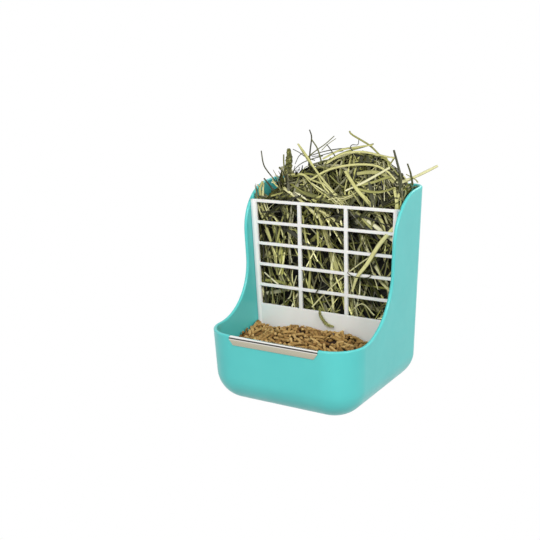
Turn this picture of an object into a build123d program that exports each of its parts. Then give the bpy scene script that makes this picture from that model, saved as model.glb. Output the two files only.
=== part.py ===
from build123d import *
from math import asin, cos, degrees, radians, sin, tan
import os

# A wall-hung hay feeder box: one moulded shell with a low food bowl in front and a tall hay
# chamber behind, a lift-out grille between them, a steel guard on the bowl's lip, and two
# sprung hooks in pockets of the back wall. Millimetres; X to the right, front towards -Y,
# Z up, origin under the middle of the whole object at the level it stands on.

# Moulded shell
BODY_HEIGHT = 175.0        # top of the back wall
BODY_DEPTH = 136.0         # back face to the bowl's front lip
TOP_WIDTH = 150.0          # outside width at the height of the back wall's top
SIDE_DRAFT = 2.3           # degrees each side wall leans out
FRONT_DRAFT = 1.7          # degrees the bowl's front leans out
WALL = 3.0
FRONT_CORNER = 27.5        # outside radius of the two upright front corners
BACK_CORNER = 11.0         # outside radius of the two upright back corners
CORNER_SHRINK = 0.6        # share of the back corner's radius lost round the bottom edge
BOTTOM_ROUND = 24.0        # outside radius round the bottom edge
ROUND_STEPS = 6            # sections through that radius
LIP_HEIGHT = 61.8          # bowl lip above the base
RIM_SETBACK = 75.0         # bowl's front lip to the upright edge of the side walls
SWEEP_RADIUS = 48.2        # hollow sweep of the side rim from the lip up to that edge
CREST_RADIUS = 42.0        # round-over of the side rim towards the back wall
CREST_RISE = 4.5           # degrees the rim still climbs behind the round-over
RIM_ROUND = 1.3            # rounding of the rim's two edges

# Grille between bowl and hay
GRILLE_BACK = 47.4         # back face of the shell to the grille's back face
GRILLE_THICK = 2.6
GRILLE_DROP = 14.6         # top of the back wall down to the grille's top
COLUMNS = 3
ROWS = 5
UPRIGHT_BAR = 3.2
CROSS_BAR = 2.6
STILE_TOP = 4.9            # side strip of the grille beside the top window
STILE_FOOT = 3.7           # the same beside the lowest window
KICK_RISE = 2.2            # solid kick plate above the bowl's lip
BAR_ROUND = 0.45
GRILLE_PLAY = 0.35         # gap between grille and shell
TONGUE = 0.9               # how far the grille reaches into the grooves
GROOVE_SLACK = 0.3         # groove beyond the tongue, and each side of the grille
GROOVE_FOOT = 34.0         # lower end of the grooves above the base
BEVEL_WIDTH = 3.0          # raised outer edge of the side strips
BEVEL_RISE = 1.8

# Steel guard on the lip
GUARD_INSET = 33.5         # its ends from the sides, which keeps it off the rounded corners
GUARD_SHEET = 0.6
GUARD_SKIRT = 6.6          # height of its front and inner skirts
GUARD_NOTCH = 1.2          # notch in the lip under it
GUARD_END_GAP = 0.5        # notch beyond each end
GUARD_CUT_WIDTH = 3.6      # slanted cut at the skirts' lower corners
GUARD_CUT_RISE = 4.6

# Sprung hooks in the back wall
POCKET_SPREAD = 88.0       # between the two pockets' middles
POCKET_WIDTH = 12.4
POCKET_DEPTH = 8.8
POCKET_WALL = 2.2
POCKET_TOP = 26.0          # below the top of the back wall
POCKET_HEIGHT = 76.0
BOSS_ROUND = 2.0           # rounding of the pockets' upright edges inside the shell
PIVOT_DROP = 5.0           # pocket's top to the pivot bar's axis
PIVOT_INSET = 0.2          # middle of the pocket's depth to the bar's axis, inwards
PIVOT_RADIUS = 1.5
COIL_DIAMETER = 7.0        # outside
SPRING_WIRE = 0.9
COIL_PITCH = 1.0
COIL_TURNS = 26
LINK_PLAY = 0.05           # between bar, spring and hook where they hang in each other
HOOK_WIRE = 1.4
EYE_RADIUS = 2.2           # centre line
HOOK_RADIUS = 3.7          # centre line of the open hook
HOOK_SHANK = 8.0
HOOK_SWEEP = 235.0         # degrees of the open hook's bow
LOOP_RISE = 1.7            # middle of a spring's end loop beyond its last turn
LOOP_END = 200.0           # degrees where the end loop stops
BEND_BALL = 0.62           # radius of the bend under a loop, in wire thicknesses

# Contents
FILL_GAP = 0.8             # hay and pellets stay this far off the plastic
HAY_GAP = 1.1              # hay behind the grille
# Heap of hay above the top of the back wall, at even steps from the left wall to the right
HAY_CROWN = (-15.0, -14.0, -5.0, 6.0, 13.5, 17.0, 22.0, 24.5, 26.5, 24.5, 15.0, 2.0, 1.0)
# Share of that height reached at even steps from the grille to the back wall
HAY_FLANK = (0.05, 0.6, 1.0, 0.95, 0.6)
HAY_TUFT = 1.6             # how far tufts stand out from the heap
HAY_HOLLOW = (44.0, 4.0)   # hollow under the heap's right side: from the middle, above the grille
HAY_HOLLOW_WIDTH = 26.0
HAY_HOLLOW_HEIGHT = 13.0
HAY_HOLLOW_TURN = 32.0     # degrees the hollow runs to the left on its way to the back wall
# Heap of pellets below the bowl's lip, at even steps from the bowl's front to the grille
PELLET_DROP = (21.5, 20.0, 18.5, 17.0, 15.0, 13.0)
# What it rises above that, at even steps from the left wall to the right
PELLET_BANK = (0.5, -4.0, -0.5, 0.0, 1.5, 0.5, 0.5, -0.5, -5.0, -8.5)
PELLET_TUFT = 1.3          # how far single mounds stand out from the heap
TUFT_STEP = (2.4, 1.9)     # radians a heap's tufts turn from one step to the next, both ways

# Worked out from the sizes above
BACK_Y = (BODY_DEPTH + GUARD_SHEET) / 2
GUARD_LENGTH = TOP_WIDTH - 2 * GUARD_INSET
FRONT_Y = BACK_Y - BODY_DEPTH
RIM_Y = FRONT_Y + RIM_SETBACK
GRILLE_Y1 = BACK_Y - GRILLE_BACK
GRILLE_Y0 = GRILLE_Y1 - GRILLE_THICK
GRILLE_TOP = BODY_HEIGHT - GRILLE_DROP
KICK_TOP = LIP_HEIGHT + KICK_RISE
SIDE_SLOPE = tan(radians(SIDE_DRAFT))
FRONT_SLOPE = tan(radians(FRONT_DRAFT))
PIVOT_Z = BODY_HEIGHT - POCKET_TOP - PIVOT_DROP
PIVOT_Y = BACK_Y - POCKET_DEPTH / 2 - PIVOT_INSET
COIL_RADIUS = (COIL_DIAMETER - SPRING_WIRE) / 2
HAY_TOP = BODY_HEIGHT + max(HAY_CROWN) + HAY_TUFT
FAR = 400.0                # larger than the whole object, for cutters
TOUCH = 0.001              # what is nearer than this touches


def half_width(z, wall=0.0):
    """Half the shell's width at height z, above the bottom rounding, wall deep inside it."""
    return TOP_WIDTH / 2 - (BODY_HEIGHT - z) * SIDE_SLOPE - wall


def front_y(z, wall=0.0):
    """Where the shell's front stands at height z, wall deep inside it."""
    return FRONT_Y + (LIP_HEIGHT - z) * FRONT_SLOPE + wall


def section(z, inset, wall):
    """Plan of the shell at height z, pulled in by the wall and by the bottom rounding."""
    half = half_width(z, wall) - inset
    front = front_y(z, wall) + inset
    back = BACK_Y - wall - inset
    share = inset / (BOTTOM_ROUND - wall)
    outline = Pos(0, (front + back) / 2, z) * Rectangle(2 * half, back - front)
    corners = outline.vertices().group_by(Axis.Y)
    outline = fillet(corners[0], FRONT_CORNER - wall - inset)
    corners = outline.vertices().group_by(Axis.Y)[-1]
    return fillet(corners, (BACK_CORNER - wall) * (1 - CORNER_SHRINK * share))


def upright_edges(block):
    """Edges that run up a block, from its front to its back."""
    return block.edges().filter_by(lambda edge: abs((edge % 0.5).Z) > cos(radians(45))).sort_by(Axis.Y)


def leaning_walls(wall, top):
    """Solid inside the leaning walls, from the bottom rounding up to top."""
    low, back = BOTTOM_ROUND, BACK_Y - wall
    profile = Polyline(
        (front_y(low, wall), low), (back, low), (back, top), (front_y(top, wall), top), close=True
    )
    foot, head = half_width(low, wall), half_width(top, wall)
    facade = Polyline((-foot, low), (foot, low), (head, top), (-head, top), close=True)
    block = extrude(Plane.YZ * make_face(profile), FAR / 2, both=True)
    block &= extrude(Plane.XZ * make_face(facade), FAR / 2, both=True)
    block = fillet(upright_edges(block)[:2], FRONT_CORNER - wall)
    return fillet(upright_edges(block)[-2:], BACK_CORNER - wall)


def tub(wall=0.0, top=BODY_HEIGHT):
    """Solid inside the shell's outer face, or inside a face that is wall deep."""
    radius = BOTTOM_ROUND - wall
    angles = [radians(90.0 * i / ROUND_STEPS) for i in range(ROUND_STEPS)]
    rounding = [section(wall + radius * (1 - cos(a)), radius * (1 - sin(a)), wall) for a in angles]
    upper = leaning_walls(wall, top)
    seam = upper.faces().sort_by(Axis.Z)[0]
    return loft([sketch.face() for sketch in rounding] + [seam]) + upper


def crest_height(y):
    """Height of the rim's climbing line behind the round-over."""
    return BODY_HEIGHT - (BACK_Y - y) * tan(radians(CREST_RISE))


def above_rim():
    """Everything above the rim, seen from the side: lip, hollow sweep, upright edge, crest."""
    crest_y = RIM_Y + CREST_RADIUS
    crest_z = crest_height(crest_y) - CREST_RADIUS / cos(radians(CREST_RISE))
    sweep_y = RIM_Y - SWEEP_RADIUS
    sweep_z = LIP_HEIGHT + SWEEP_RADIUS
    half_turn = sin(radians(45))
    lip = Line((-FAR, LIP_HEIGHT), (sweep_y, LIP_HEIGHT))
    sweep_arc = ThreePointArc(
        lip @ 1,
        (sweep_y + SWEEP_RADIUS * half_turn, sweep_z - SWEEP_RADIUS * half_turn),
        (RIM_Y, sweep_z),
    )
    edge = Line(sweep_arc @ 1, (RIM_Y, crest_z))
    crest_end = (
        crest_y - CREST_RADIUS * sin(radians(CREST_RISE)),
        crest_z + CREST_RADIUS * cos(radians(CREST_RISE)),
    )
    crest_arc = TangentArc(edge @ 1, crest_end, tangent=(0, 1))
    climb = Line(crest_end, (FAR, crest_height(FAR)))
    frame = Polyline(climb @ 1, (FAR, FAR), (-FAR, FAR), lip @ 0)
    face = make_face([lip, sweep_arc, edge, crest_arc, climb, frame])
    return extrude(Plane.YZ * face, FAR / 2, both=True)


def rounded_rim(shell, air):
    """Rounds the outer and inner edges all along the rim that air cut on the shell."""
    rim = [face for face in shell.faces() if air.distance_to(face.position_at(0.5, 0.5)) < TOUCH]
    edges = [edge for face in rim for edge in face.edges()]
    outer = [edge for edge in edges if sum(edge.is_same(other) for other in edges) == 1]
    return fillet(outer, RIM_ROUND)


def side_groove(side):
    """Cutter for the upright groove that guides one side of the grille."""
    low, high = GROOVE_FOOT, BODY_HEIGHT + WALL
    depth = TONGUE + GROOVE_SLACK
    corners = [
        (half_width(low, WALL) - depth, low),
        (half_width(low, WALL) + depth, low),
        (half_width(high, WALL) + depth, high),
        (half_width(high, WALL) - depth, high),
    ]
    width = GRILLE_THICK + 2 * GROOVE_SLACK
    outline = Plane.XZ * make_face(Polyline([(side * x, z) for x, z in corners], close=True))
    return extrude(Pos(0, GRILLE_Y1 + GROOVE_SLACK, 0) * outline, width)


def box_between(low, high):
    """Box from its lowest to its highest corner."""
    size = [b - a for a, b in zip(low, high)]
    return Pos(*low) * Box(*size, align=(Align.MIN, Align.MIN, Align.MIN))


def pocket_box(side, grow=0.0, mouth=0.0):
    """The space of one hook pocket, grown all round, and past the back wall by mouth."""
    x = side * POCKET_SPREAD / 2
    top = BODY_HEIGHT - POCKET_TOP + grow
    low = (x - POCKET_WIDTH / 2 - grow, BACK_Y - POCKET_DEPTH - grow, top - POCKET_HEIGHT - 2 * grow)
    high = (x + POCKET_WIDTH / 2 + grow, BACK_Y + mouth, top)
    return box_between(low, high)


def body_shell():
    """The moulded shell with grooves, the guard's notch, hook pockets and their pivot bars."""
    air = above_rim()
    shell = rounded_rim(tub() - tub(WALL, BODY_HEIGHT + WALL) - air, air)
    notch = GUARD_LENGTH / 2 + GUARD_END_GAP
    shell -= box_between((-notch, -FAR, LIP_HEIGHT - GUARD_NOTCH), (notch, FRONT_Y + 3 * WALL, FAR))
    for side in (-1, 1):
        shell -= side_groove(side)
        boss = fillet(pocket_box(side, POCKET_WALL).edges().filter_by(Axis.Z), BOSS_ROUND)
        shell += boss & tub(WALL / 2)
        shell -= pocket_box(side, 0, WALL)
        bar = Cylinder(PIVOT_RADIUS, POCKET_WIDTH + POCKET_WALL, rotation=(0, 90, 0))
        shell += Pos(side * POCKET_SPREAD / 2, PIVOT_Y, PIVOT_Z) * bar
    return shell


def grille_half(z):
    """Half the grille's width at height z."""
    return half_width(z, WALL) - GRILLE_PLAY


def window_half(z):
    """From the middle to the outer edge of the outer windows at height z."""
    top = GRILLE_TOP - CROSS_BAR
    share = (top - z) / (top - KICK_TOP)
    stile = STILE_TOP + (STILE_FOOT - STILE_TOP) * share
    return half_width(z, WALL) - stile


def windows():
    """Corner points of every window, seen from the front, row by row from the top."""
    top = GRILLE_TOP - CROSS_BAR
    height = (top - KICK_TOP - (ROWS - 1) * CROSS_BAR) / ROWS
    width = (2 * window_half(top) - (COLUMNS - 1) * UPRIGHT_BAR) / COLUMNS
    quads = []
    for row in range(ROWS):
        high = top - row * (height + CROSS_BAR)
        low = high - height
        for column in range(COLUMNS):
            left = -window_half(top) + column * (width + UPRIGHT_BAR)
            lefts, rights = (left, left), (left + width, left + width)
            if column == 0:
                lefts = (-window_half(low), -window_half(high))
            if column == COLUMNS - 1:
                rights = (window_half(low), window_half(high))
            quads.append([(lefts[0], low), (rights[0], low), (rights[1], high), (lefts[1], high)])
    return quads


def front_face(points):
    """Face through points (x, z), standing on the grille's back plane."""
    return Pos(0, GRILLE_Y1, 0) * (Plane.XZ * make_face(Polyline(points, close=True)))


def side_bevel(side):
    """Raised outer edge of one side strip, leaning with the wall."""
    rings = []
    for z in (GROOVE_FOOT, GRILLE_TOP):
        edge = side * grille_half(z)
        foot = edge - side * BEVEL_WIDTH
        deep = GRILLE_Y0 + GRILLE_THICK / 2
        points = [(edge, deep), (edge, GRILLE_Y0 - BEVEL_RISE), (foot, GRILLE_Y0), (foot, deep)]
        rings.append(Pos(0, 0, z) * make_face(Polyline(points, close=True)))
    return loft([ring.face() for ring in rings], ruled=True)


def hay_grille():
    """Flat grille with bars, side strips and a solid kick plate, tongued into the shell."""
    foot = WALL + GRILLE_PLAY
    corners = [
        (-grille_half(foot), foot),
        (grille_half(foot), foot),
        (grille_half(GRILLE_TOP), GRILLE_TOP),
        (-grille_half(GRILLE_TOP), GRILLE_TOP),
    ]
    outline = make_face(Polyline(corners, close=True))
    low_corners = outline.vertices().group_by(Axis.Y)[0]
    outline = fillet(low_corners, BOTTOM_ROUND - WALL)
    for quad in windows():
        outline -= make_face(Polyline(quad, close=True))
    plate = extrude(Pos(0, GRILLE_Y1, 0) * (Plane.XZ * outline), GRILLE_THICK)
    mid = (GRILLE_Y0 + GRILLE_Y1) / 2
    inner = plate.edges().filter_by(lambda edge: abs(edge.center().Y - mid) > GRILLE_THICK / 4)
    plate = fillet(inner, BAR_ROUND)
    for side in (-1, 1):
        low = GROOVE_FOOT + GROOVE_SLACK
        tongue = [
            (side * (grille_half(low) - WALL / 2), low),
            (side * (half_width(low, WALL) + TONGUE), low),
            (side * (half_width(GRILLE_TOP, WALL) + TONGUE), GRILLE_TOP),
            (side * (grille_half(GRILLE_TOP) - WALL / 2), GRILLE_TOP),
        ]
        plate += extrude(front_face(tongue), GRILLE_THICK)
        plate += side_bevel(side)
    return plate


def lip_guard():
    """Folded steel strip pushed over the notch in the bowl's front lip."""
    seat = LIP_HEIGHT - GUARD_NOTCH
    foot = seat - GUARD_SKIRT
    front = front_y(seat)
    lean = front_y(foot) - front

    def fold(grow):
        points = [
            (front - grow + lean, foot),
            (front - grow, seat + grow),
            (front + WALL + grow, seat + grow),
            (front + WALL + grow + lean, foot),
        ]
        return make_face(Polyline(points, close=True))

    outside = fold(GUARD_SHEET)
    outside = fillet(outside.vertices().group_by(Axis.Y)[-1], WALL / 2)
    half = GUARD_LENGTH / 2
    bar = extrude(Plane.YZ * (outside - fold(0)), half, both=True)
    for side in (-1, 1):
        cut = [(half, foot - TOUCH), (half - GUARD_CUT_WIDTH, foot - TOUCH), (half, foot + GUARD_CUT_RISE)]
        corner = make_face(Polyline([(side * x, z) for x, z in cut], close=True))
        bar -= extrude(Plane.XZ * corner, FAR, both=True)
    return bar


def wire_arc(centre, plane_x, radius, wire, start, sweep_angle):
    """Round wire bent to an arc: plane_x is 'y' for the YZ plane or 'x' for the XZ plane."""
    x_dir = (0, 1, 0) if plane_x == "y" else (1, 0, 0)
    z_dir = (1, 0, 0) if plane_x == "y" else (0, -1, 0)
    plane = Plane(origin=centre, x_dir=x_dir, z_dir=z_dir)
    if sweep_angle >= 360:
        return plane * Torus(radius, wire / 2)
    path = plane * CenterArc((0, 0), radius, start, sweep_angle)
    return sweep(Plane(origin=path @ 0, z_dir=path % 0) * Circle(wire / 2), path)


def ball(centre, wire):
    """Round end or bend of a wire."""
    return Pos(*centre) * Sphere(wire / 2)


def hook_places(side):
    """Axis of one spring, middles of its two end loops, and middle of the hook's eye."""
    x = side * POCKET_SPREAD / 2
    top = PIVOT_Z - (COIL_RADIUS - SPRING_WIRE / 2 - PIVOT_RADIUS - LINK_PLAY)
    bottom = top - COIL_TURNS * COIL_PITCH - 2 * LOOP_RISE
    link = (SPRING_WIRE + HOOK_WIRE) / 2 + LINK_PLAY
    eye = bottom - COIL_RADIUS + link - EYE_RADIUS
    return x, top, bottom, eye


def hook_spring(side):
    """Extension spring with a loop turned up at each end, hanging from its pivot bar."""
    x, top, bottom, _ = hook_places(side)
    path = Helix(COIL_PITCH, COIL_TURNS * COIL_PITCH, COIL_RADIUS, center=(0, 0, 0), direction=(0, 0, 1))
    path = Pos(x, PIVOT_Y, bottom + LOOP_RISE) * (Rot(0, 0, 90) * path)
    spring = sweep(Plane(origin=path @ 0, z_dir=path % 0) * Circle(SPRING_WIRE / 2), path, is_frenet=True)
    start = degrees(asin(LOOP_RISE / COIL_RADIUS))
    spring += wire_arc((x, PIVOT_Y, top), "y", COIL_RADIUS, SPRING_WIRE, -start, LOOP_END + start)
    spring += wire_arc((x, PIVOT_Y, bottom), "y", COIL_RADIUS, SPRING_WIRE, start, -LOOP_END - start)
    loop_y = PIVOT_Y + COIL_RADIUS * cos(radians(start))
    for end_z in (bottom + LOOP_RISE, top - LOOP_RISE):
        bend = Plane(origin=(x, (loop_y + PIVOT_Y + COIL_RADIUS) / 2, end_z))
        spring += bend * Sphere(SPRING_WIRE * BEND_BALL)
    return spring


def cage_hook(side):
    """Wire hook that hangs in the spring's lower loop: an eye, a shank and an open bow."""
    x, _, _, eye = hook_places(side)
    ring = wire_arc((x, PIVOT_Y, eye), "x", EYE_RADIUS, HOOK_WIRE, 0, 360)
    shank_top = eye - EYE_RADIUS
    bow = shank_top - HOOK_SHANK - HOOK_RADIUS
    shank = Pos(x, PIVOT_Y, shank_top - HOOK_SHANK / 2) * Cylinder(HOOK_WIRE / 2, HOOK_SHANK)
    curve = wire_arc((x, PIVOT_Y, bow), "x", HOOK_RADIUS, HOOK_WIRE, 90, side * HOOK_SWEEP)
    end = radians(90 + side * HOOK_SWEEP)
    tip = (x + HOOK_RADIUS * cos(end), PIVOT_Y, bow + HOOK_RADIUS * sin(end))
    return ring + shank + curve + ball(tip, HOOK_WIRE) + ball((x, PIVOT_Y, bow + HOOK_RADIUS), HOOK_WIRE)


def above_heap(left, right, front, back, heights):
    """Everything above a heap: heights are rows from front to back, evenly spaced both ways."""
    rows = []
    for j, row in enumerate(heights):
        y = front + (back - front) * j / (len(heights) - 1)
        rows.append([(left + (right - left) * i / (len(row) - 1), y, z) for i, z in enumerate(row)])
    surface = Face.make_surface_from_array_of_points([[Vector(*point) for point in row] for row in rows])
    return extrude(surface, FAR, dir=(0, 0, 1))


def tuft(i, j, height):
    """Rise or fall of a heap's tuft in column i of row j."""
    return height * sin(TUFT_STEP[0] * i + TUFT_STEP[1] * j) * (-1) ** j


def hay():
    """Hay that fills the chamber behind the grille and heaps up above the rim."""
    front = GRILLE_Y1 + HAY_GAP
    back = BACK_Y - WALL - FILL_GAP
    half = half_width(HAY_TOP, WALL)
    chamber = box_between((-half, front, 0), (half, back, HAY_TOP + WALL))
    loaf = chamber & tub(WALL + FILL_GAP, HAY_TOP + WALL)
    heights = [
        [
            GRILLE_TOP + (BODY_HEIGHT + rise - GRILLE_TOP) * share + tuft(i, j, HAY_TUFT)
            for i, rise in enumerate(HAY_CROWN)
        ]
        for j, share in enumerate(HAY_FLANK)
    ]
    loaf -= above_heap(-half, half, front - WALL, back + WALL, heights)
    x, rise = HAY_HOLLOW
    mouth = Ellipse(HAY_HOLLOW_WIDTH / 2, HAY_HOLLOW_HEIGHT / 2)
    away = (-tan(radians(HAY_HOLLOW_TURN)), 1, 0)
    loaf -= extrude(Pos(x, front - WALL, GRILLE_TOP + rise) * (Plane.XZ * mouth), FAR / 2, dir=away)
    for side in (-1, 1):
        boss = pocket_box(side, POCKET_WALL + FILL_GAP, WALL).bounding_box()
        loaf -= box_between((boss.min.X, boss.min.Y, 0), (boss.max.X, boss.max.Y, boss.max.Z))
    return loaf


def pellets():
    """Heap of feed pellets in the bowl, highest against the grille."""
    front = FRONT_Y + WALL + FILL_GAP
    back = GRILLE_Y0 - BEVEL_RISE - FILL_GAP
    half = half_width(LIP_HEIGHT, WALL)
    bowl = tub(WALL + FILL_GAP) & box_between((-FAR, -FAR, 0), (FAR, back, LIP_HEIGHT))
    heights = [
        [LIP_HEIGHT - drop + bank + tuft(i, j, PELLET_TUFT) for i, bank in enumerate(PELLET_BANK)]
        for j, drop in enumerate(PELLET_DROP)
    ]
    return bowl - above_heap(-half, half, front - WALL, back + WALL, heights)


def sub_parts():
    """Every sub-part by its name."""
    parts = {
        "body_shell": body_shell(),
        "hay_grille": hay_grille(),
        "lip_guard": lip_guard(),
        "hay": hay(),
        "pellets": pellets(),
        "left_hook_spring": hook_spring(-1),
        "left_cage_hook": cage_hook(-1),
    }
    for kind in ("hook_spring", "cage_hook"):
        parts["right_" + kind] = mirror(parts["left_" + kind], Plane.YZ)
    return parts


os.makedirs("parts", exist_ok=True)
for node, solid in sub_parts().items():
    export_step(solid, "parts/" + node + ".step")
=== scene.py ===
import math
import random

import bmesh
import bpy
import numpy as np
from mathutils import Matrix, Vector, noise
from mathutils.bvhtree import BVHTree


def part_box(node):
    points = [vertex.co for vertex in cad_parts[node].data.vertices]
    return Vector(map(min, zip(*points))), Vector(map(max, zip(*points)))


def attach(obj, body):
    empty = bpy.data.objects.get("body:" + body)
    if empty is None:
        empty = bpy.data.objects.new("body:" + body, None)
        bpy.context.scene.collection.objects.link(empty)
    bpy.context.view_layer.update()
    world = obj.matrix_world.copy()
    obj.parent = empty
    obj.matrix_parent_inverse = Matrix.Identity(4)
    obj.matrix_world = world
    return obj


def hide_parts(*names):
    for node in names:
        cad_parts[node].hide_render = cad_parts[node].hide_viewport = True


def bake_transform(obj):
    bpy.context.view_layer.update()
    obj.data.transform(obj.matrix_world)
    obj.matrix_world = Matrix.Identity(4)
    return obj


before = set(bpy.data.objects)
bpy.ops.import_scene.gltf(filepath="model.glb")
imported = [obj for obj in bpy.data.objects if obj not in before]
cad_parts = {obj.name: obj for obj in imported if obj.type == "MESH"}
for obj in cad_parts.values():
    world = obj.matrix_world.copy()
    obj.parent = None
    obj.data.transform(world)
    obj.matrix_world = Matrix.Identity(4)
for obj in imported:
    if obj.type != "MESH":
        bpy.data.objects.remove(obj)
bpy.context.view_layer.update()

MM = 0.001

# Camera, from the photograph: angles in degrees, lens for a 540 x 540 frame
CAMERA_AZIMUTH = 32.02
CAMERA_ELEVATION = 14.15
CAMERA_ROLL = -1.61
CAMERA_PLACE = (0.35244, -0.63107, 0.28959)
CAMERA_LENS = 58.27
SENSOR = 36.0


def srgb(red, green, blue):
    """Linear colour for a colour given as 0 to 255."""
    channels = []
    for value in (red, green, blue):
        c = value / 255
        channels.append(c / 12.92 if c <= 0.04045 else ((c + 0.055) / 1.055) ** 2.4)
    return (*channels, 1.0)


# ---- materials

class Nodes:
    """Short way to add and link shader nodes."""

    def __init__(self, name, kind="materials", shader="Principled BSDF"):
        self.owner = getattr(bpy.data, kind).new(name)
        self.owner.use_nodes = True
        self.tree = self.owner.node_tree
        self.shader = self.tree.nodes[shader]

    def give(self, socket, value):
        """Sets a socket to a constant, or links another node's output to it."""
        if isinstance(value, (int, float, tuple)):
            socket.default_value = value
        else:
            self.tree.links.new(value, socket)

    def add(self, kind, **values):
        """A node with its settings and sockets given by name, with _ for a space."""
        node = self.tree.nodes.new(kind)
        for key, value in values.items():
            if hasattr(node, key):
                setattr(node, key, value)
            else:
                self.give(node.inputs[key.replace("_", " ")], value)
        return node

    def place(self):
        """Object coordinates: the same at every size of picture and in every pose."""
        return self.add("ShaderNodeTexCoord").outputs["Object"]

    def coordinate(self, axis):
        return self.add("ShaderNodeSeparateXYZ", Vector=self.place()).outputs[axis]

    def attribute(self, name):
        return self.add("ShaderNodeAttribute", attribute_name=name).outputs["Fac"]

    def calculate(self, operation, *values):
        node = self.add("ShaderNodeMath", operation=operation)
        for socket, value in zip(node.inputs, values):
            self.give(socket, value)
        return node.outputs[0]

    def share(self, value, low, high):
        """How far a value lies on the way from low, which gives 0, to high, which gives 1."""
        return self.add("ShaderNodeMapRange", Value=value, From_Min=low, From_Max=high).outputs["Result"]

    def noise(self, scale, detail=4.0, roughness=0.55, coords=None):
        node = self.add("ShaderNodeTexNoise", Scale=scale, Detail=detail, Roughness=roughness)
        self.give(node.inputs["Vector"], coords or self.place())
        return node.outputs["Fac"]

    def ramp(self, source, *stops):
        node = self.add("ShaderNodeValToRGB", Fac=source)
        elements = node.color_ramp.elements
        while len(elements) < len(stops):
            elements.new(0.5)
        for element, (position, colour) in zip(elements, stops):
            element.position = position
            element.color = colour
        return node.outputs["Color"]

    def levels(self, source, *stops):
        """Ramp of greys; each stop is a value of source and the grey there."""
        return self.ramp(source, *[(position, (grey, grey, grey, 1)) for position, grey in stops])

    def grey(self, source, low, high):
        """Ramp from one grey value to another."""
        return self.levels(source, (0.25, low), (0.75, high))

    def mix(self, factor, a, b, blend="MIX"):
        node = self.add("ShaderNodeMix", data_type="RGBA", blend_type=blend, Factor=factor, A=a, B=b)
        return node.outputs["Result"]

    def lay(self, colour, other, source, *stops):
        """Lays another colour over one; each stop is a value of source and the share laid there."""
        return self.mix(self.levels(source, *stops), colour, other)

    def bump(self, height, distance, strength=1.0, after=None):
        node = self.add("ShaderNodeBump", Height=height, Strength=strength, Distance=distance)
        if after is not None:
            self.give(node.inputs["Normal"], after)
        return node.outputs["Normal"]

    def seen_directly(self):
        """1 where the camera, a mirror or glass looks straight at it, 0 for its light on other things."""
        rays = self.add("ShaderNodeLightPath").outputs
        mirrored = self.calculate("MAXIMUM", rays["Is Camera Ray"], rays["Is Glossy Ray"])
        return self.calculate("MAXIMUM", mirrored, rays["Is Transmission Ray"])

    def feed(self, **sockets):
        """Sets or links sockets of the surface shader."""
        for key, value in sockets.items():
            self.give(self.shader.inputs[key.replace("_", " ")], value)


WHITE = (1, 1, 1, 1)
TEAL, TEAL_CLOUD = srgb(90, 200, 196), srgb(84, 194, 191)
PALE, PALE_CLOUD = srgb(238, 237, 234), srgb(232, 231, 228)
# painted shade deep in the hay and in the gaps between the pellets
HAY_PAINTED_SHADE, PELLET_PAINTED_SHADE = srgb(12, 12, 4), srgb(60, 36, 14)
HOOK_STEEL, SPRING_STEEL = srgb(205, 205, 205), srgb(190, 190, 188)
STEEL_WORN = srgb(150, 148, 136)
STEEL_PAINTED_REFLECTIONS = (                              # painted reflections and highlights, from the foot of the guard's skirt up to its fold: the floor's beige, a pale line, a dark band at the bend, a white highlight on top
    (0.0, srgb(186, 182, 162)),
    (0.60, srgb(200, 194, 172)),
    (0.68, srgb(244, 242, 236)),
    (0.76, srgb(36, 34, 34)),
    (0.86, srgb(44, 42, 42)),
    (0.93, srgb(255, 255, 252)),
)
EDGE_PAINTED_SHADE = (                               # painted shade with a painted teal reflection, from the grille's side edge inwards
    (0.0, srgb(225, 236, 238)),
    (0.10, srgb(140, 202, 206)),
    (0.55, srgb(208, 226, 230)),
    (1.0, WHITE),
)
HAY_STOPS = (                                # from dark to bright stalks
    (0.0, srgb(30, 32, 12)),
    (0.22, srgb(84, 88, 36)),
    (0.50, srgb(156, 156, 80)),
    (0.75, srgb(224, 220, 148)),
    (1.0, srgb(254, 250, 210)),
)
# HAY_EDGE_SHADE is painted shade along the stalks' edges
HAY_RIB, HAY_BLOTCH, HAY_EDGE_SHADE = srgb(246, 242, 200), srgb(112, 104, 50), srgb(70, 70, 26)
PELLET_STOPS = ((0.0, srgb(124, 88, 40)), (0.5, srgb(176, 140, 80)), (1.0, srgb(212, 180, 118)))
BRAN, FIBRE = srgb(96, 72, 38), srgb(224, 204, 158)

SIDE_LEAN = math.tan(math.radians(2.3))      # of the shell's and the grille's side edges
EDGE_SHADE_WIDTH = 0.0032                           # width of the painted shade along the grille's side edges


def moulded_plastic(name, colour, shade, roughness, cloud):
    """Glossy injection-moulded plastic: faint flow clouding and a very fine orange-peel skin."""
    n = Nodes(name)
    clouds = n.noise(cloud, detail=3.0)
    n.feed(
        Base_Color=n.mix(n.grey(clouds, 0.0, 1.0), colour, shade),
        Roughness=n.grey(n.noise(160.0, detail=2.0), roughness - 0.03, roughness + 0.05),
        Normal=n.bump(n.noise(900.0, detail=2.0), 0.00002, after=n.bump(n.noise(70.0, detail=1.0), 0.0001)),
    )
    return n


def teal_plastic():
    n = moulded_plastic("teal_plastic", TEAL, TEAL_CLOUD, 0.34, 26.0)
    n.feed(Specular_IOR_Level=0.35, Coat_Weight=0.08, Coat_Roughness=0.12, Subsurface_Weight=0.06)
    n.feed(Subsurface_Radius=(0.4, 0.9, 0.8), Subsurface_Scale=0.004)
    return n.owner


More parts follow.
